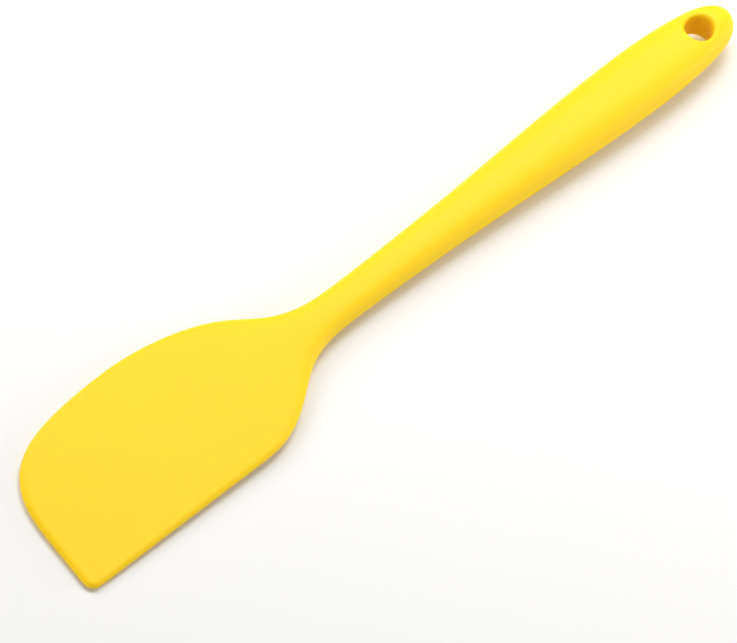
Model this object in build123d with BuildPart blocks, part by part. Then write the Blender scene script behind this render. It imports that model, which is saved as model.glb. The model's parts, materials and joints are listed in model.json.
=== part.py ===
from build123d import *
from math import atan, cos, sin
import os

# A one-piece silicone spatula: a stiff nylon core with seamless silicone moulded all round it.
# The frame has +X along the handle towards the hang hole, +Y towards the blade's rounded side and
# +Z up. Its origin is under the middle of the object, on the surface that it lies on.
# Places along the spatula are measured from the blade's end. All lengths are in millimetres.

# Places along the spatula
overall_length = 279.4
blade_heel = 70.0
blade_crest = 54.0
neck_place = 120.0
thickest_to_end = 47.4
widest_to_end = 37.4
hole_to_end = 13.6

# Blade, seen from above, with one straight side and one rounded side
straight_side_reach = 23.6
round_side_reach = 26.45
blade_end_slant = 3.2
blade_end_turn = 1.0
corner_radius = 3.0

# Full thicknesses, half of each above the mould's parting plane and half below it
tip_thickness = 2.0
blade_edge_thickness = 1.8
blade_edge_round = 1.0
mid_blade_thickness = 3.8
neck_thickness = 6.9
handle_thickness = 11.8
hole_thickness = 10.9

# Handle and hang hole
neck_width = 12.1
handle_width = 20.1
hole_diameter = 8.6
hole_rim_round = 1.2

# Nylon core
skin_thickness = 1.4
sleeve_thickness = 1.2
ring_width = 1.5
ring_thickness = 3.0
tongue_thickness = 2.0
tongue_end_width = 11.0
tongue_width = 14.0
tongue_corner = 4.0
tongue_end_to_neck = 62.0
tongue_widest_to_neck = 30.0
tongue_root_to_neck = 8.0
ramp_to_neck = 21.0
key_hole_diameter = 4.0
key_hole_to_neck = 54.0
key_hole_pitch = 9.0
key_hole_count = 4
window_width = 4.2
window_length = 12.0
neck_to_window = 20.0
window_to_hole = 30.0
window_pitch = 19.0

# How closely the sections follow each other
section_pitch = 6.0

# Room beyond the solids for cuts, and how far the corners' curves run out past the blade's sides
overrun = 6.0
side_overcut = 0.1

# Places that follow from these
thickest_place = overall_length - thickest_to_end
widest_place = overall_length - widest_to_end
hole_place = overall_length - hole_to_end
tongue_end = neck_place - tongue_end_to_neck
tongue_widest_place = neck_place - tongue_widest_to_neck
tongue_root_place = neck_place - tongue_root_to_neck
ramp_place = neck_place - ramp_to_neck
key_hole_place = neck_place - key_hole_to_neck
window_place = neck_place + neck_to_window
window_count = 1 + int((hole_place - window_to_hole - window_place) / window_pitch)

# Points of the curves, each as a share of the way along and of the change on that way
straight_shoulder_shares = ((0.20, 0.12), (0.40, 0.43), (0.60, 0.81), (0.78, 0.965))
round_shoulder_shares = ((0.24, 0.08), (0.42, 0.235), (0.58, 0.49), (0.70, 0.78), (0.84, 0.955))
swell_width_shares = ((0.25, 0.13), (0.41, 0.29), (0.57, 0.53), (0.73, 0.775), (0.87, 0.94))
end_width_shares = ((0.46, 0.077), (0.73, 0.228), (0.90, 0.477))
swell_height_shares = ((0.26, 0.25), (0.52, 0.60), (0.76, 0.89))
taper_height_shares = ((0.50, 0.26),)
end_height_shares = ((0.50, 0.02), (0.82, 0.27))
round_corner_shares = ((0.114, 0.559), (0.332, 0.848), (0.607, 0.962))

# Places of the last sections, as shares of the way from the hole's middle to the handle's end
end_station_shares = (0.20, 0.42, 0.62, 0.78, 0.89, 0.96, 0.99)

# A quarter of a section, as shares of its half-width and of its half-height: the handle's oval, and
# the fuller one that it has turned to at the hang hole
oval_shares = ((1, 0), (1, 0.414), (0.776, 0.776), (0.414, 1), (0, 1))
full_oval_shares = ((1, 0), (1, 0.52), (0.82, 0.82), (0.52, 1), (0, 1))
blade_crown_share = 0.5


def between(start, end, shares):
    """Points on the way from one point to another, from shares of the way and of the change."""
    return [
        (start[0] + along * (end[0] - start[0]), start[1] + change * (end[1] - start[1]))
        for along, change in shares
    ]


def side_guide(level_end, reach, shoulder_shares):
    """Half the width on one side: level along the blade, in to the neck and out to the handle."""
    heel = (level_end, reach)
    neck = (neck_place, neck_width / 2)
    widest = (widest_place, handle_width / 2)
    end = (overall_length, 0)
    with BuildLine() as guide:
        Line((-overrun, reach), heel)
        Spline(heel, *between(heel, neck, shoulder_shares), neck, tangents=[(1, 0), (1, 0)])
        Spline(neck, *between(neck, widest, swell_width_shares), widest, tangents=[(1, 0), (1, 0)])
        Spline(widest, *between(widest, end, end_width_shares), end, tangents=[(1, 0), (0, -1)])
    return guide


def height_guide():
    """Half the thickness along the spatula."""
    tip = (0, tip_thickness / 2)
    mid_blade = (blade_crest, mid_blade_thickness / 2)
    before_tip = between(tip, mid_blade, [(-overrun / blade_crest, -overrun / blade_crest)])
    neck = (neck_place, neck_thickness / 2)
    thickest = (thickest_place, handle_thickness / 2)
    hole = (hole_place, hole_thickness / 2)
    end = (overall_length, 0)
    with BuildLine() as guide:
        Spline(*before_tip, tip, mid_blade, neck, *between(neck, thickest, swell_height_shares), thickest)
        Spline(
            thickest,
            *between(thickest, hole, taper_height_shares),
            hole,
            *between(hole, end, end_height_shares),
            end,
            tangents=[(1, 0), (0, -1)],
        )
    return guide


def size_at(guide, place):
    """The size that a guide gives at a place along the spatula."""
    square = Axis((place, 0, 0), (0, 1, 0))
    crossings = [point.Y for edge in guide.edges() for point in edge.find_intersection_points(square)]
    return crossings[0]


straight_side = side_guide(blade_heel, straight_side_reach, straight_shoulder_shares)
round_side = side_guide(blade_crest, round_side_reach, round_shoulder_shares)
half_height = height_guide()

# Places of the sections
station_count = int(hole_place / section_pitch)
even_stations = [hole_place - section_pitch * step for step in range(station_count, 0, -1)]
end_stations = [hole_place + share * (overall_length - hole_place) for share in end_station_shares]
handle_stations = [place for place in even_stations if place > tongue_root_place]

# The spatula lies on its blade's end and on the thick of its handle, so the parting plane leans
rest_slope = max((size_at(half_height, place) - tip_thickness / 2) / place for place in handle_stations)
rest_angle = atan(rest_slope)
parting = Plane(
    origin=(
        -overall_length * cos(rest_angle) / 2,
        (straight_side_reach - round_side_reach) / 2,
        tip_thickness / 2,
    ),
    x_dir=(cos(rest_angle), 0, sin(rest_angle)),
    z_dir=(-sin(rest_angle), 0, cos(rest_angle)),
)


def station_plane(place):
    """The plane square to the handle at a place, with its x towards the rounded side."""
    return Plane(parting.from_local_coords((place, 0, 0)), x_dir=parting.y_dir, z_dir=parting.x_dir)


def blend(start, end, part):
    """Points that are a part of the way from some points to others."""
    return [(a + part * (c - a), b + part * (d - b)) for (a, b), (c, d) in zip(start, end)]


def eased(share):
    """A smooth rise from 0 to 1."""
    held = min(max(share, 0), 1)
    return held * held * (3 - 2 * held)


def quarter(place, reach, half, oval_part):
    """A section's curve from one side to its top or bottom: a thin lens, an oval or part of each."""
    edge_half = blade_edge_thickness / 2 * (1 if half > 0 else -1)
    round_in = blade_edge_round * (1 if reach > 0 else -1)
    lens = (
        (reach, 0),
        (reach, edge_half),
        (reach - round_in, edge_half),
        (reach * blade_crown_share, half),
        (0, half),
    )
    fullness = eased((place - thickest_place) / (hole_place - thickest_place))
    shares = blend(oval_shares, full_oval_shares, fullness)
    oval = [(reach * across, half * up) for across, up in shares]
    return blend(lens, oval, oval_part)


def section(place, straight_reach, round_reach, half, oval_part):
    """One closed section of four curves, square to the handle."""
    with BuildSketch(station_plane(place)) as outline:
        with BuildLine():
            Bezier(*quarter(place, -straight_reach, half, oval_part))
            Bezier(*reversed(quarter(place, round_reach, half, oval_part)))
            Bezier(*quarter(place, round_reach, -half, oval_part))
            Bezier(*reversed(quarter(place, -straight_reach, -half, oval_part)))
        make_face()
    return outline.sketch


def oval_part_at(place):
    """How far the section has turned from the blade's lens to the handle's oval."""
    return eased((place - blade_heel) / (neck_place - blade_heel))


def core_section(place):
    """A section of the core, one skin inside the silicone's surface."""
    return section(
        place,
        size_at(straight_side, place) - skin_thickness,
        size_at(round_side, place) - skin_thickness,
        size_at(half_height, place) - skin_thickness,
        1,
    )


def skin_section(place):
    """A section of the silicone's outer surface."""
    return section(
        place,
        size_at(straight_side, place),
        size_at(round_side, place),
        size_at(half_height, place),
        oval_part_at(place),
    )


hole_radius = hole_diameter / 2
sleeve_radius = hole_radius + sleeve_thickness
ring_radius = sleeve_radius + ring_width

with BuildPart() as nylon_core:
    # The bar rises out of the tongue and follows the handle to the middle of the hang hole
    ramp = section(ramp_place, tongue_end_width / 2, tongue_end_width / 2, tongue_thickness / 4, 1)
    loft([ramp, *[core_section(place) for place in (*handle_stations, hole_place)]])
    # The tongue reaches into the blade
    with BuildSketch(parting):
        with BuildLine():
            tongue_side = Polyline(
                (tongue_end, 0),
                (tongue_end, tongue_end_width / 2),
                (tongue_widest_place, tongue_width / 2),
                (tongue_root_place, neck_width / 2 - skin_thickness),
                (tongue_root_place, 0),
            )
            mirror(tongue_side, about=Plane.XZ)
        tongue = make_face()
        fillet(tongue.vertices().sort_by(Axis.X)[:2], tongue_corner)
    extrude(amount=tongue_thickness / 2, both=True)
    # A ring goes round the hang hole
    with BuildSketch(parting):
        with Locations((hole_place, 0)):
            Circle(ring_radius)
    ring = extrude(amount=ring_thickness / 2, both=True)
    with BuildSketch(parting):
        with Locations((hole_place, 0)):
            Circle(sleeve_radius)
        # The silicone joins through these from face to face
        for step in range(key_hole_count):
            with Locations((key_hole_place + step * key_hole_pitch, 0)):
                Circle(key_hole_diameter / 2)
        for step in range(window_count):
            with Locations((window_place + step * window_pitch, 0)):
                SlotOverall(window_length, window_width)
    extrude(amount=handle_thickness, both=True, mode=Mode.SUBTRACT)

with BuildPart() as silicone_overmould:
    before_tip = -section_pitch
    loft([skin_section(place) for place in (before_tip, 0, *even_stations, hole_place, *end_stations)])
    # Seen from above, the blade's end is a slanted line with a tight corner and a wide one
    with BuildSketch(parting):
        straight_edge = -straight_side_reach - side_overcut
        round_edge = round_side_reach + side_overcut
        turn = (blade_end_slant, -blade_end_turn)
        crest = (blade_crest, round_edge)
        past_handle = overall_length + overrun
        with BuildLine():
            Line((past_handle, straight_edge), (0, straight_edge))
            Line((0, straight_edge), turn)
            Spline(turn, *between(turn, crest, round_corner_shares), crest, tangents=[
                (blade_end_slant, straight_side_reach - blade_end_turn), (1, 0)])
            Line(crest, (past_handle, round_edge))
            Line((past_handle, round_edge), (past_handle, straight_edge))
        outline = make_face()
        fillet(outline.vertices().sort_by(Axis.X)[0], corner_radius)
    extrude(amount=handle_thickness, both=True, mode=Mode.INTERSECT)
    with BuildSketch(parting):
        with Locations((hole_place, 0)):
            Circle(hole_radius)
    extrude(amount=handle_thickness, both=True, mode=Mode.SUBTRACT)
    # Both rims are rounded, in order from the straight side, and the seams that end at them aren't
    hole_wall = faces(Select.LAST).filter_by(GeomType.CYLINDER)
    rims = hole_wall.edges().filter_by(GeomType.LINE, reverse=True).sort_by(Axis.Y)
    fillet(rims, hole_rim_round)
    add(nylon_core.part, mode=Mode.SUBTRACT)

os.makedirs("parts", exist_ok=True)
nylon_core.part.label = "nylon_core"
export_step(nylon_core.part, "parts/nylon_core.step")
silicone_overmould.part.label = "silicone_overmould"
export_step(silicone_overmould.part, "parts/silicone_overmould.step")
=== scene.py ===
import json
from math import atan2, cos, pi, radians, sin, sqrt

import bmesh
import bpy
import numpy as np
from bpy.props import FloatProperty, FloatVectorProperty, PointerProperty
from mathutils import Matrix, Vector


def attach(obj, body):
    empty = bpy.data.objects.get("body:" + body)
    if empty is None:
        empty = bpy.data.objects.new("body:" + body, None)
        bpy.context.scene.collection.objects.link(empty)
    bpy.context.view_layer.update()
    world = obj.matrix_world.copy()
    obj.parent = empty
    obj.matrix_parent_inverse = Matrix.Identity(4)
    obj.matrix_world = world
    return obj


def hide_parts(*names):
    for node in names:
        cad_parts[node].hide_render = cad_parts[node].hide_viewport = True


bl_info = {
    "name": "Silicone spatula",
    "version": (1, 0, 0),
    "blender": (4, 5, 0),
    "location": "3D View > Sidebar > Spatula",
    "description": "Models a one-piece silicone spatula round its nylon core, with its stage",
    "category": "Object",
}

MILLIMETRE = 0.001

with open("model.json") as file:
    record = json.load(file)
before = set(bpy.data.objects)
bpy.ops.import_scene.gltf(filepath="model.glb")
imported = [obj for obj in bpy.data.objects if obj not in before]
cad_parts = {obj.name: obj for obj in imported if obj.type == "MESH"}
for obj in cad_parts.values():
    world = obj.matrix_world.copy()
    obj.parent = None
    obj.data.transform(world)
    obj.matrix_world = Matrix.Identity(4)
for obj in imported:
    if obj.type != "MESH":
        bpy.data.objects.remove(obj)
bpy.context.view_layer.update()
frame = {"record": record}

# The mould's parting plane carries the whole shape. The hang hole's axis stands square on it.
hang_hole = frame["record"]["mounts"][0]
parting_normal = Vector(hang_hole["axis"])
hang_hole_middle = Vector(hang_hole["pos_m"])
hang_hole_radius = hang_hole["dims"]["r_mm"] * MILLIMETRE


def linear(share):
    """One channel of an sRGB colour as linear light: a straight toe and then a power, as sRGB has."""
    return share / 12.92 if share <= 0.04045 else ((share + 0.055) / 1.055) ** 2.4


def colour(code):
    """An sRGB hex colour as the linear red, green, blue and alpha that shaders want."""
    return (*[linear(int(code[at:at + 2], 16) / 255) for at in (1, 3, 5)], 1)


def size(name, description, millimetres):
    """A length that a user may change, given here in millimetres."""
    return FloatProperty(
        name=name, description=description, default=millimetres * MILLIMETRE, unit="LENGTH", precision=5
    )


def angle(name, description, degrees):
    """An angle that a user may change, given here in degrees."""
    return FloatProperty(name=name, description=description, default=radians(degrees), subtype="ANGLE")


def watts(name, description, power):
    """A light's power that a user may change."""
    return FloatProperty(name=name, description=description, default=power, unit="POWER")


def paint(name, description, code):
    """A colour that a user may change, given here as sRGB hex."""
    return FloatVectorProperty(
        name=name, description=description, default=colour(code), subtype="COLOR", size=4, min=0, max=1
    )


class SpatulaShape(bpy.types.PropertyGroup):
    """Sizes of the silicone moulding. Places are measured from the blade's end."""

    length: size("Length", "From the blade's end to the handle's", 279.4)
    blade_heel: size("Heel", "Where the straight side turns in to the neck", 70)
    blade_crest: size("Crest", "Where the rounded side is widest", 54)
    neck: size("Neck", "Where the neck is narrowest", 120)
    straight_reach: size("Straight side", "From the axis to the straight side", 23.8)
    round_reach: size("Rounded side", "From the axis to the rounded side", 26.45)
    end_slant: size("End slant", "How far the blade's end leans back", 3.2)
    end_turn: size("End turn", "Where the end starts to round, off the axis", 1)
    corner_radius: size("Corner", "Radius of the blade's tight corner", 3)
    neck_width: size("Neck width", "Width of the neck", 12.1)
    handle_width: size("Handle width", "Widest part of the handle", 20.4)
    widest: size("Widest place", "Where the handle is widest", 242)
    tip_thickness: size("Tip", "Thickness at the blade's end", 2)
    edge_thickness: size("Edge", "Thickness at the blade's sides", 1.8)
    edge_round: size("Edge round", "Radius of the blade's edges", 0.9)
    mid_blade_thickness: size("Mid blade", "Thickness in mid blade", 3.8)
    neck_thickness: size("Neck thickness", "Thickness of the neck", 6.9)
    handle_thickness: size("Handle thickness", "Thickest part of the handle", 11.8)
    thickest: size("Thickest place", "Where the handle is thickest", 232)
    hole: size("Hole", "Middle of the hang hole", 265.8)
    hole_thickness: size("Hole thickness", "Thickness at the hang hole", 10.9)
    hole_round: size("Hole rim", "Radius of the hang hole's rims", 1.3)
    flash_height: size("Flash", "How far the parting line stands out", 0.2)
    flash_half: size("Flash half", "Half its thickness at its root", 0.25)


class SpatulaFinish(bpy.types.PropertyGroup):
    """Colours and grain of the two materials."""

    silicone: paint("Silicone", "Pigment of the silicone", "#FED313")
    silicone_deep: paint("Silicone, deep", "Where the pigment lies a little richer", "#FCCE0F")
    nylon: paint("Nylon", "Natural colour of the moulded core", "#E9E2CF")
    grain: size("Grain", "Spacing of the mould's matt grain, as it is drawn", 0.45)


class SpatulaStage(bpy.types.PropertyGroup):
    """The floor, the light and where the camera stands."""

    floor: paint("Floor", "Colour of the floor", "#EEEDEB")
    floor_width: size("Floor width", "Width of the square floor", 6000)
    surround: FloatProperty(
        name="Surround", description="Strength of the even white surround", default=0.2
    )
    key: watts("Key", "The high light beyond the handle", 6.1)
    side: watts("Side", "The light beyond the rounded side", 3.7)
    hand: watts("Hand", "The small light near the handle's end", 0.55)
    near_fill: watts("Near fill", "The low light in front", 4.2)
    blade_fill: watts("Blade fill", "The low light past the blade's end", 3.3)
    aim_along: size("Aim along", "Where the camera looks, along X", -15.36)
    aim_across: size("Aim across", "Where the camera looks, along Y", -9)
    bearing: angle("Bearing", "Which way the camera looks, round from +X", 33.517)
    fall: angle("Fall", "How steeply the camera looks down", 53.9)
    roll: angle("Roll", "How far the camera is rolled", 14.2)
    distance: size("Distance", "From the camera to the point that it looks at", 2317)
    lens: FloatProperty(
        name="Lens", description="Focal length of the camera", default=403, subtype="DISTANCE_CAMERA"
    )


# How many points each stretch of a smooth curve gets
BEND_STEPS = 12


def bend_through(points, start, end):
    """Points along the smooth curve through some points, with its directions at both ends given."""
    places = np.array(points, float)
    spans = np.hypot(*np.diff(places, axis=0).T)
    count = len(places)
    system = np.eye(count)
    wanted = np.zeros((count, 2))
    wanted[0] = Vector(start).normalized()
    wanted[-1] = Vector(end).normalized()
    slopes = np.diff(places, axis=0) / spans[:, None]
    for at in range(1, count - 1):
        before, after = spans[at - 1], spans[at]
        system[at, at - 1:at + 2] = after, 2 * (before + after), before
        wanted[at] = 3 * (after * slopes[at - 1] + before * slopes[at])
    tangents = np.linalg.solve(system, wanted)
    bent = [places[0]]
    for at, span in enumerate(spans):
        for share in np.linspace(0, 1, BEND_STEPS + 1)[1:]:
            rest = 1 - share
            bent.append(
                rest * rest * (1 + 2 * share) * places[at]
                + share * share * (3 - 2 * share) * places[at + 1]
                + share * rest * span * (rest * tangents[at] - share * tangents[at + 1])
            )
    return [tuple(map(float, point)) for point in bent]


def between(start, end, shares):
    """Points on the way from one point to another, from shares of the way and of the change."""
    return [
        (start[0] + along * (end[0] - start[0]), start[1] + change * (end[1] - start[1]))
        for along, change in shares
    ]


# Points of the outline's curves, each as a share of the way along and of the change on that way
STRAIGHT_SHOULDER_SHARES = ((0.20, 0.12), (0.40, 0.43), (0.60, 0.81), (0.78, 0.965))
ROUND_SHOULDER_SHARES = ((0.24, 0.08), (0.42, 0.235), (0.58, 0.49), (0.70, 0.78), (0.84, 0.955))
SWELL_WIDTH_SHARES = ((0.25, 0.13), (0.41, 0.29), (0.57, 0.53), (0.73, 0.775), (0.87, 0.94))
END_WIDTH_SHARES = ((0.46, 0.077), (0.73, 0.228), (0.90, 0.477))
ROUND_CORNER_SHARES = ((0.114, 0.559), (0.332, 0.848), (0.607, 0.962))
SWELL_HEIGHT_SHARES = ((0.26, 0.25), (0.52, 0.60), (0.76, 0.89))
TAPER_HEIGHT_SHARES = ((0.50, 0.26),)
END_HEIGHT_SHARES = ((0.50, 0.02), (0.82, 0.27))


def side(shape, level_end, reach, shoulder_shares):
    """Half the width on one side: level along the blade, in to the neck and out to the handle."""
    heel = (level_end, reach)
    neck = (shape.neck, shape.neck_width / 2)
    widest = (shape.widest, shape.handle_width / 2)
    end = (shape.length, 0)
    return [
        (0, reach),
        *bend_through([heel, *between(heel, neck, shoulder_shares), neck], (1, 0), (1, 0)),
        *bend_through([neck, *between(neck, widest, SWELL_WIDTH_SHARES), widest], (1, 0), (1, 0)),
        *bend_through([widest, *between(widest, end, END_WIDTH_SHARES), end], (1, 0), (0, -1)),
    ]


def both_sides(shape):
    """Half the width on the straight side, and on the rounded side."""
    straight = side(shape, shape.blade_heel, shape.straight_reach, STRAIGHT_SHOULDER_SHARES)
    rounded = side(shape, shape.blade_crest, shape.round_reach, ROUND_SHOULDER_SHARES)
    return straight, rounded


def half_height(shape):
    """Half the thickness along the spatula."""
    tip = (0, shape.tip_thickness / 2)
    mid_blade = (shape.blade_crest, shape.mid_blade_thickness / 2)
    neck = (shape.neck, shape.neck_thickness / 2)
    thickest = (shape.thickest, shape.handle_thickness / 2)
    hole = (shape.hole, shape.hole_thickness / 2)
    end = (shape.length, 0)
    out = (mid_blade[0] - tip[0], mid_blade[1] - tip[1])
    swell = [tip, mid_blade, neck, *between(neck, thickest, SWELL_HEIGHT_SHARES), thickest]
    taper = [thickest, *between(thickest, hole, TAPER_HEIGHT_SHARES), hole]
    taper += [*between(hole, end, END_HEIGHT_SHARES), end]
    return [*bend_through(swell, out, (1, 0)), *bend_through(taper, (1, 0), (0, -1))]


def round_corner(shape):
    """The blade's end from its turn, round the wide corner, to the crest of the rounded side."""
    turn = (shape.end_slant, -shape.end_turn)
    crest = (shape.blade_crest, shape.round_reach)
    slant = (shape.end_slant, shape.straight_reach - shape.end_turn)
    return bend_through([turn, *between(turn, crest, ROUND_CORNER_SHARES), crest], slant, (1, 0))


def size_at(guide, place):
    """What a guide gives at a place along the spatula."""
    along, sizes = zip(*guide)
    return float(np.interp(place, along, sizes))


def eased(share):
    """A smooth rise from 0 to 1."""
    held = min(max(share, 0), 1)
    return held * held * (3 - 2 * held)


def spread(points, count):
    """Points at even distances along a line of points, its ends among them."""
    line = np.array(points, float)
    far = np.concatenate(([0], np.cumsum(np.hypot(*np.diff(line, axis=0).T))))
    even = np.linspace(0, far[-1], count + 1)
    along, across = (np.interp(even, far, line[:, axis]) for axis in (0, 1))
    return list(zip(along.tolist(), across.tolist()))


# The power of the curve of the handle's section, which is a little squarer than an oval
SECTION_POWER = 2.4

# How the cage is divided: across the blade's end and the handle's, along each half of the tight
# corner's arc, round each of the blade's corners and along each side of the eye round the hang hole
ACROSS = 10
ARC_STEPS = 2
CORNER_STEPS = 6
EYE_STEPS = 9
# The rows of the body: to the neck, along the handle, and a few closer ones up to the eye
BODY_ROWS = (19, 22, 2)
# How far from the blade's end the wide corner is halved, and the rows of the body start
END_TO_ROUND_MIDDLE = 11.3 * MILLIMETRE
END_TO_ROWS = 24 * MILLIMETRE
# How far the closer rows and the eye start before the hang hole, and how far past it the eye ends
CLOSE_ROWS_TO_HOLE = 14.4 * MILLIMETRE
EYE_TO_HOLE = 9 * MILLIMETRE
HOLE_TO_EYE_END = 9.4 * MILLIMETRE
# How far each ring of faces is set in from the last: over the flash, then over the edge's round
RING_STEPS = tuple(step * MILLIMETRE for step in (0.05, 0.15, 0.3, 0.9, 1.0))
# How far the eye's first ring is set in
EYE_INSET = 0.3 * MILLIMETRE
# Where the flash has its crest, its corner and its root, and how much of its half-thickness is there
FLASH_SHARES = ((0, 0), (0.25, 0.8), (1, 1))
# The rings of the hang hole's rim, as shares of its round outside the bore
RIM_SHARES = (1, 0.5, 0.15, 0)
# How far the flash stands into the bore
BORE_FLASH = 0.1 * MILLIMETRE
# How often the cage is divided to smooth it
SMOOTH_LEVELS = 2
# The least length that counts as one
LEAST = 0.001 * MILLIMETRE


def tight_corner(shape):
    """The blade's tight corner as two lines of points, from its middle to each side."""
    lean = atan2(shape.end_slant, shape.straight_reach - shape.end_turn)
    radius = shape.corner_radius
    middle_x = radius * (1 + sin(lean)) / cos(lean)
    middle_y = radius - shape.straight_reach
    starts = (3 * pi / 2, pi - lean)
    halfway = sum(starts) / 2
    return [
        [
            (middle_x + radius * cos(turn), middle_y + radius * sin(turn))
            for turn in np.linspace(halfway, start, ARC_STEPS + 1)
        ]
        for start in starts
    ]


def outline(shape):
    """The plan's outline as one ring of points, and the two places where the eye starts.

    The ring runs from the middle of the tight corner along the straight side, round the handle's
    end, back along the rounded side to the middle of the wide corner, and along the blade's end."""
    straight, rounded = both_sides(shape)
    corner = round_corner(shape)
    to_straight, to_end = tight_corner(shape)
    rows = [END_TO_ROWS]
    row_ends = (shape.neck, shape.hole - CLOSE_ROWS_TO_HOLE, shape.hole - EYE_TO_HOLE)
    for end, steps in zip(row_ends, BODY_ROWS):
        start = rows[-1]
        rows += [start + (end - start) * step / steps for step in range(1, steps + 1)]
    far_side = [point for point in corner if point[0] < shape.blade_crest]
    far_side += [point for point in rounded if point[0] >= shape.blade_crest]
    near = [(place, -size_at(straight, place)) for place in rows]
    far = [(place, size_at(far_side, place)) for place in rows]

    near_corner = [*to_straight[:-1], *spread([to_straight[-1], near[0]], CORNER_STEPS - ARC_STEPS)]
    round_half = [point for point in corner if END_TO_ROUND_MIDDLE <= point[0] < END_TO_ROWS]
    far_corner = spread([*round_half, far[0]], CORNER_STEPS)
    end_half = [point for point in corner if point[0] < END_TO_ROUND_MIDDLE]
    end_line = spread([to_end[-1], *end_half, far_corner[0]], ACROSS - ARC_STEPS)
    blade_end = [*to_end[:-1], *end_line]

    eye_end = shape.hole + HOLE_TO_EYE_END
    eye = [point for point in rounded if rows[-1] < point[0] < eye_end]
    eye = spread([far[-1], *eye, (eye_end, size_at(rounded, eye_end))], EYE_STEPS)
    cap = [eye[-1], *[point for point in rounded if point[0] > eye_end]]
    cap = spread([*[(x, -y) for x, y in cap], *cap[-2::-1]], ACROSS)

    near_side = [*near_corner, *near[1:], *[(x, -y) for x, y in eye[1:]]]
    back = [*far_corner, *far[1:], *eye[1:-1]][::-1]
    return [*near_side, *cap[1:], *back, *blade_end[-2:0:-1]], (near[-1], far[-1])


def gap_to(ring, x, y):
    """How far a point of the plan is from the outline."""
    starts = np.array(ring)
    runs = np.roll(starts, -1, axis=0) - starts
    offsets = np.array((x, y)) - starts
    shares = np.clip((offsets * runs).sum(1) / (runs * runs).sum(1), 0, 1)
    return float(np.hypot(*(offsets - runs * shares[:, None]).T).min())


def height_maker(shape, ring):
    """Gives how high the upper half stands above the parting plane at a point of the plan."""
    straight, rounded = both_sides(shape)
    halves = half_height(shape)
    shares, lifts = zip(*FLASH_SHARES)
    # The flash takes the last of the length, so what is under it ends sooner
    past_hole = shape.length - shape.hole
    stretch = past_hole / (past_hole - shape.flash_height)

    def height_at(x, y):
        gap = gap_to(ring, x, y)
        flash = shape.flash_half * float(np.interp(gap / shape.flash_height, shares, lifts))
        inside = gap - shape.flash_height
        if inside < LEAST:
            return flash
        place = x if x < shape.hole else shape.hole + (x - shape.hole) * stretch
        reach = size_at(rounded if y > 0 else straight, place) - shape.flash_height
        share = min(abs(y) / max(reach, shape.flash_height), 1)
        half = size_at(halves, place)
        edge = shape.edge_thickness / 2
        out = 1 - min(inside / shape.edge_round, 1)
        blade = (edge + (half - edge) * (1 - share * share)) * sqrt(1 - out * out)
        oval = half * (1 - share ** SECTION_POWER) ** (1 / SECTION_POWER)
        turned = eased((place - shape.blade_heel) / (shape.neck - shape.blade_heel))
        return max(blade + turned * (oval - blade), flash)

    return height_at


def edit(piece):
    """The mesh being edited, with its lists ready."""
    mesh = bmesh.from_edit_mesh(piece.data)
    for parts in (mesh.verts, mesh.edges, mesh.faces):
        parts.ensure_lookup_table()
    return mesh


def choose(piece, parts):
    """Leaves these vertices, edges or faces selected and nothing else."""
    bpy.ops.mesh.select_all(action="DESELECT")
    for part in parts:
        part.select_set(True)
    bmesh.update_edit_mesh(piece.data)


def inner_face(piece):
    """The face with the most corners."""
    return max(edit(piece).faces, key=lambda face: len(face.verts))


def nearest(corners, point):
    """Which of a face's corners is nearest to a point of the plan."""
    return min(range(len(corners)), key=lambda at: (corners[at].co.xy - Vector(point)).length)


def short_chain(corners, start, end):
    """The edges along a face's side between two of its corners, the short way round."""
    count = len(corners)
    if (end - start) % count > count / 2:
        start, end = end, start
    places = [(start + step) % count for step in range((end - start) % count + 1)]
    pairs = [(corners[a], corners[b]) for a, b in zip(places, places[1:])]
    return [next(edge for edge in a.link_edges if b in edge.verts) for a, b in pairs]


def trace(name, ring):
    """A flat face drawn point by point along its outline."""
    bpy.ops.object.select_all(action="DESELECT")
    bpy.ops.mesh.primitive_plane_add(size=1)
    piece = bpy.context.object
    piece.name = piece.data.name = name
    bpy.ops.object.mode_set(mode="EDIT")
    bpy.ops.mesh.select_mode(type="VERT")
    bpy.ops.mesh.select_all(action="SELECT")
    bpy.ops.mesh.merge(type="CENTER")
    bpy.ops.transform.translate(value=(*ring[0], 0))
    for start, end in zip(ring, ring[1:]):
        step = (end[0] - start[0], end[1] - start[1], 0)
        bpy.ops.mesh.extrude_region_move(TRANSFORM_OT_translate={"value": step})
    bpy.ops.mesh.select_all(action="SELECT")
    bpy.ops.mesh.edge_face_add()
    return piece


def ring_inwards(piece):
    """Sets the face in, ring by ring, over the flash and the round of the edge."""
    for step in RING_STEPS:
        choose(piece, [inner_face(piece)])
        bpy.ops.mesh.inset(thickness=step)


def part_off_eye(piece, eye_starts):
    """Draws the row that parts the body from the eye round the hang hole."""
    corners = inner_face(piece).verts
    choose(piece, [corners[nearest(corners, point)] for point in eye_starts])
    bpy.ops.mesh.vert_connect()
    bpy.ops.mesh.subdivide(number_cuts=ACROSS - 1)


def fill_body(piece, ring, eye_starts):
    """Fills the body with rows and columns, from the blade's end to the eye."""
    open_faces = [face for face in edit(piece).faces if len(face.verts) > 4]
    body = max(open_faces, key=lambda face: face.calc_area())
    corners = list(body.verts)
    choose(piece, [body])
    bpy.ops.mesh.delete(type="ONLY_FACE")
    places = (ring[0], ring[-ACROSS], *eye_starts)
    tight, wide, near, far = (nearest(corners, place) for place in places)
    bpy.ops.mesh.select_mode(type="EDGE")
    choose(piece, [*short_chain(corners, tight, wide), *short_chain(corners, near, far)])
    bpy.ops.mesh.fill_grid(span=ACROSS)


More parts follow.
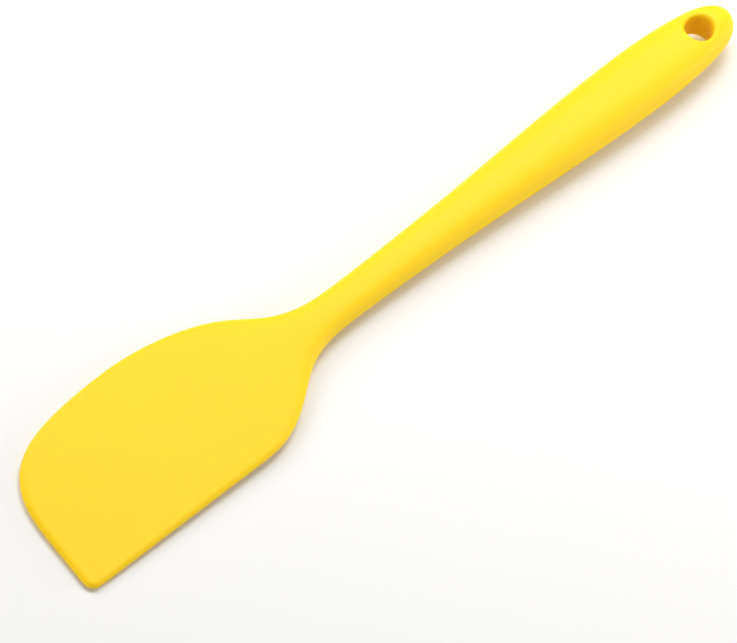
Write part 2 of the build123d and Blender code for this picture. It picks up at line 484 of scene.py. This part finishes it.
def open_eye(piece, shape):
    """Rings the eye down to the hang hole's rim and opens it."""
    middle = Vector((shape.hole, 0, 0))
    bpy.ops.mesh.select_mode(type="FACE")
    choose(piece, [inner_face(piece)])
    bpy.ops.mesh.inset(thickness=EYE_INSET)
    bpy.ops.transform.tosphere(value=1, center_override=middle)
    rim = inner_face(piece)
    reach = sum((vertex.co - middle).length for vertex in rim.verts) / len(rim.verts)
    share = (hang_hole_radius + shape.hole_round) / reach
    bpy.ops.transform.resize(value=(share, share, 1), center_override=middle)
    rim = inner_face(piece)
    around = set(rim.edges)
    spokes = [edge for vertex in rim.verts for edge in vertex.link_edges if edge not in around]
    bpy.ops.mesh.select_mode(type="EDGE")
    choose(piece, spokes)
    bpy.ops.mesh.subdivide(number_cuts=1)
    bpy.ops.mesh.select_mode(type="FACE")
    choose(piece, [inner_face(piece)])
    for start, end in zip(RIM_SHARES, RIM_SHARES[1:]):
        bpy.ops.mesh.inset(thickness=shape.hole_round * (start - end))
    bpy.ops.mesh.delete(type="FACE")


def crown(piece, shape, ring):
    """Raises the flat cage to the upper half of the moulding, and rounds the hang hole's rim."""
    height_at = height_maker(shape, ring)
    for vertex in edit(piece).verts:
        x, y, _ = vertex.co
        out = sqrt((x - shape.hole) ** 2 + y * y) - hang_hole_radius
        share = 1 - min(max(out / shape.hole_round, 0), 1)
        vertex.co.z = height_at(x, y) - shape.hole_round * (1 - sqrt(1 - share * share))
    bmesh.update_edit_mesh(piece.data)


def bore(piece, shape):
    """Draws the hang hole's wall down to the flash in the parting plane."""
    middle = Vector((shape.hole, 0, 0))
    bpy.ops.mesh.select_mode(type="EDGE")
    reach = hang_hole_radius + shape.hole_round
    open_edges = [edge for edge in edit(piece).edges if edge.is_boundary]
    choose(piece, [edge for edge in open_edges if (edge.verts[0].co.xy - middle.xy).length < reach])
    inwards = 1 - BORE_FLASH / hang_hole_radius
    for size_share, level in ((1, shape.flash_half), (inwards, 0)):
        bpy.ops.mesh.extrude_edges_move()
        centre = (*middle.xy, level)
        bpy.ops.transform.resize(value=(size_share, size_share, 0), center_override=centre)


def lie_down(piece, shape):
    """Turns a piece from its parting plane to where the CAD body lies."""
    across = Vector((0, 1, 0))
    along = across.cross(parting_normal)
    turn = Matrix((along, across, parting_normal)).transposed().to_4x4()
    to_hole = Matrix.Translation((-shape.hole, 0, 0))
    piece.matrix_world = Matrix.Translation(hang_hole_middle) @ turn @ to_hole
    bpy.ops.object.transform_apply(location=True, rotation=True, scale=True)


def finish_modifiers(piece):
    """Mirrors the upper half below the parting plane and smooths the whole."""
    mirror = piece.modifiers.new("lower half", "MIRROR")
    mirror.use_axis = (False, False, True)
    mirror.merge_threshold = LEAST
    smooth = piece.modifiers.new("smooth", "SUBSURF")
    smooth.levels = smooth.render_levels = SMOOTH_LEVELS
    for modifier in (mirror, smooth):
        bpy.ops.object.modifier_apply(modifier=modifier.name)


def add_node(tree, kind, settings=None, sockets=None, links=None):
    """Adds a node, with its settings, its sockets' values and what is linked to its sockets."""
    node = tree.nodes.new(kind)
    for name, value in (settings or {}).items():
        setattr(node, name, value)
    for name, value in (sockets or {}).items():
        node.inputs[name].default_value = value
    for name, source in (links or {}).items():
        tree.links.new(source, node.inputs[name])
    return node


def new_material(name):
    """An empty material, its nodes and the object's coordinates in metres."""
    material = bpy.data.materials.new(name)
    material.use_nodes = True
    tree = material.node_tree
    tree.nodes.clear()
    place = add_node(tree, "ShaderNodeTexCoord").outputs["Object"]
    return material, tree, place


def per_metre(millimetres):
    """A texture's scale that makes its features about this size."""
    return 1 / (millimetres * MILLIMETRE)


def silicone_material(finish):
    """Pigmented silicone rubber, cured in a mould with a fine matt surface.

    It is satin, with a wide dull highlight, soft edges where light goes a little way in, a slightly
    uneven pigment and a faint grain."""
    material, tree, place = new_material("moulded silicone rubber")
    # The pigment varies in faint clouds about 6 cm wide
    cloud = add_node(
        tree, "ShaderNodeTexNoise", sockets={"Scale": per_metre(60), "Detail": 2}, links={"Vector": place}
    )
    pigment = add_node(
        tree, "ShaderNodeMix", {"data_type": "RGBA"}, links={"Factor": cloud.outputs["Fac"]}
    )
    # A mix node has sockets of every kind by the same names, so its colours are found by their kind
    lighter, deeper = (socket for socket in pigment.inputs if socket.type == "RGBA")
    lighter.default_value = finish.silicone
    deeper.default_value = finish.silicone_deep
    tint = next(socket for socket in pigment.outputs if socket.type == "RGBA")
    # The real grain is finer, and is drawn as coarse as it needs to show
    grain = add_node(
        tree, "ShaderNodeTexNoise", sockets={"Scale": 1 / finish.grain, "Detail": 3}, links={"Vector": place}
    )
    bump = add_node(
        tree,
        "ShaderNodeBump",
        sockets={"Strength": 0.15, "Distance": 0.02 * MILLIMETRE},
        links={"Height": grain.outputs["Fac"]},
    )
    shader = add_node(
        tree,
        "ShaderNodeBsdfPrincipled",
        sockets={
            "Roughness": 0.5,
            "IOR": 1.41,
            "Specular IOR Level": 0.3,
            "Subsurface Weight": 0.3,
            "Subsurface Radius": (1, 0.5, 0.12),
            "Subsurface Scale": 0.6 * MILLIMETRE,
        },
        links={"Base Color": tint, "Normal": bump.outputs["Normal"]},
    )
    add_node(tree, "ShaderNodeOutputMaterial", links={"Surface": shader.outputs["BSDF"]})
    return material


def nylon_material(finish):
    """Natural glass-filled nylon 6, injection moulded: waxy off-white with a faint flow of fibres."""
    material, tree, place = new_material("moulded nylon")
    # The fibres flow along the handle, so their pattern is drawn out along it
    drawn_out = add_node(
        tree, "ShaderNodeMapping", sockets={"Scale": (0.15, 1, 1)}, links={"Vector": place}
    )
    fibres = add_node(
        tree,
        "ShaderNodeTexNoise",
        sockets={"Scale": per_metre(0.8), "Detail": 4},
        links={"Vector": drawn_out.outputs["Vector"]},
    )
    bump = add_node(
        tree,
        "ShaderNodeBump",
        sockets={"Strength": 0.2, "Distance": 0.03 * MILLIMETRE},
        links={"Height": fibres.outputs["Fac"]},
    )
    shader = add_node(
        tree,
        "ShaderNodeBsdfPrincipled",
        sockets={"Base Color": finish.nylon, "Roughness": 0.42, "IOR": 1.53, "Subsurface Weight": 0.1},
        links={"Normal": bump.outputs["Normal"]},
    )
    add_node(tree, "ShaderNodeOutputMaterial", links={"Surface": shader.outputs["BSDF"]})
    return material


def floor_material(stage):
    """Matt white card, a little uneven."""
    material, tree, place = new_material("white card")
    bumps = add_node(tree, "ShaderNodeTexNoise", sockets={"Scale": per_metre(2)}, links={"Vector": place})
    bump = add_node(
        tree,
        "ShaderNodeBump",
        sockets={"Strength": 0.1, "Distance": 0.01 * MILLIMETRE},
        links={"Height": bumps.outputs["Fac"]},
    )
    shader = add_node(
        tree,
        "ShaderNodeBsdfPrincipled",
        sockets={"Base Color": stage.floor, "Roughness": 0.9},
        links={"Normal": bump.outputs["Normal"]},
    )
    add_node(tree, "ShaderNodeOutputMaterial", links={"Surface": shader.outputs["BSDF"]})
    return material


class SPATULA_OT_moulding(bpy.types.Operator):
    """Models the silicone moulding: blade, neck and handle in one, with its hang hole and flash"""

    bl_idname = "spatula.moulding"
    bl_label = "Silicone moulding"

    def execute(self, context):
        shape = context.scene.spatula_shape
        ring, eye_starts = outline(shape)
        piece = trace("silicone_moulding", ring)
        bpy.ops.mesh.select_mode(type="FACE")
        ring_inwards(piece)
        bpy.ops.mesh.select_mode(type="VERT")
        part_off_eye(piece, eye_starts)
        bpy.ops.mesh.select_mode(type="FACE")
        fill_body(piece, ring, eye_starts)
        open_eye(piece, shape)
        crown(piece, shape, ring)
        bore(piece, shape)
        bpy.ops.object.mode_set(mode="OBJECT")
        finish_modifiers(piece)
        bpy.ops.object.mode_set(mode="EDIT")
        bpy.ops.mesh.select_all(action="SELECT")
        bpy.ops.mesh.normals_make_consistent(inside=False)
        bpy.ops.object.mode_set(mode="OBJECT")
        bpy.ops.object.shade_smooth()
        lie_down(piece, shape)
        piece.data.materials.append(silicone_material(context.scene.spatula_finish))
        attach(piece, "root")
        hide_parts("silicone_overmould")
        return {"FINISHED"}


class SPATULA_OT_core(bpy.types.Operator):
    """Finishes the moulded nylon core, which stays as the CAD model made it"""

    bl_idname = "spatula.core"
    bl_label = "Nylon core"

    def execute(self, context):
        core = bpy.data.objects["nylon_core"]
        core.data.materials.clear()
        core.data.materials.append(nylon_material(context.scene.spatula_finish))
        return {"FINISHED"}


# Each soft light's bearing from +X and height in degrees, and its distance and width in metres
LIGHTS = (
    ("key", 30, 55, 0.9, 0.6),
    ("side", 90, 35, 0.9, 0.6),
    ("hand", 330, 45, 0.6, 0.3),
    ("near_fill", 315, 12, 1.0, 0.5),
    ("blade_fill", 180, 12, 1.0, 0.5),
)


def soft_light(name, power, bearing, height, distance, width):
    """A round soft light that shines at the origin."""
    turn, climb = radians(bearing), radians(height)
    away = Vector((cos(turn) * cos(climb), sin(turn) * cos(climb), sin(climb)))
    facing = away.to_track_quat("Z", "Y").to_euler()
    bpy.ops.object.light_add(type="AREA", location=away * distance, rotation=facing)
    light = bpy.context.object
    light.name = light.data.name = name
    light.data.shape = "DISK"
    light.data.size = width
    light.data.energy = power


def lay_floor(stage):
    """The wide white floor that the spatula lies on."""
    bpy.ops.object.select_all(action="DESELECT")
    bpy.ops.mesh.primitive_plane_add(size=stage.floor_width, location=(0, 0, 0))
    floor = bpy.context.object
    floor.name = floor.data.name = "floor"
    floor.data.materials.append(floor_material(stage))


def white_surround(stage):
    """An even white light from all round."""
    world = bpy.data.worlds.new("studio")
    world.use_nodes = True
    tree = world.node_tree
    tree.nodes.clear()
    light = {"Color": (1, 1, 1, 1), "Strength": stage.surround}
    sky = add_node(tree, "ShaderNodeBackground", sockets=light)
    add_node(tree, "ShaderNodeOutputWorld", links={"Surface": sky.outputs["Background"]})
    return world


# Width of the camera's sensor in millimetres, which the lens's focal length goes with
SENSOR_WIDTH = 36


def photo_camera(stage):
    """The camera that looks from the photograph's angle."""
    level = Vector((cos(stage.bearing), sin(stage.bearing), 0))
    forward = level * cos(stage.fall)
    forward.z = -sin(stage.fall)
    upright = forward.to_track_quat("-Z", "Y").to_matrix().to_4x4()
    turn = Matrix.Rotation(stage.roll, 4, -forward) @ upright
    aim = Vector((stage.aim_along, stage.aim_across, 0))
    bpy.ops.object.camera_add()
    camera = bpy.context.object
    camera.name = camera.data.name = "camera"
    camera.data.sensor_width = SENSOR_WIDTH
    camera.data.sensor_fit = "HORIZONTAL"
    camera.data.lens = stage.lens
    camera.matrix_world = Matrix.Translation(aim - forward * stage.distance) @ turn
    return camera


class SPATULA_OT_stage(bpy.types.Operator):
    """Sets the floor, the soft light and the camera at the photograph's angle"""

    bl_idname = "spatula.stage"
    bl_label = "Stage"

    def execute(self, context):
        scene = context.scene
        stage = scene.spatula_stage
        scene.view_settings.view_transform = "Standard"
        lay_floor(stage)
        scene.world = white_surround(stage)
        for name, *placing in LIGHTS:
            soft_light(name, getattr(stage, name), *placing)
        scene.camera = photo_camera(stage)
        return {"FINISHED"}


class SPATULA_PT_panel(bpy.types.Panel):
    """The spatula's sizes, colours and steps"""

    bl_idname = "SPATULA_PT_panel"
    bl_label = "Silicone spatula"
    bl_space_type = "VIEW_3D"
    bl_region_type = "UI"
    bl_category = "Spatula"

    def draw(self, context):
        for step in STEPS:
            self.layout.operator(step.bl_idname)
        for group in GROUPS:
            box = self.layout.box()
            for name in group.__annotations__:
                box.prop(getattr(context.scene, GROUPS[group]), name)


STEPS = (SPATULA_OT_moulding, SPATULA_OT_core, SPATULA_OT_stage)
GROUPS = {SpatulaShape: "spatula_shape", SpatulaFinish: "spatula_finish", SpatulaStage: "spatula_stage"}


def register():
    for group, name in GROUPS.items():
        bpy.utils.register_class(group)
        setattr(bpy.types.Scene, name, PointerProperty(type=group))
    for step in (*STEPS, SPATULA_PT_panel):
        bpy.utils.register_class(step)


def unregister():
    for step in (SPATULA_PT_panel, *reversed(STEPS)):
        bpy.utils.unregister_class(step)
    for group, name in GROUPS.items():
        delattr(bpy.types.Scene, name)
        bpy.utils.unregister_class(group)


def main():
    register()
    bpy.ops.spatula.moulding()
    bpy.ops.spatula.core()
    bpy.ops.spatula.stage()


if __name__ == "__main__":
    main()
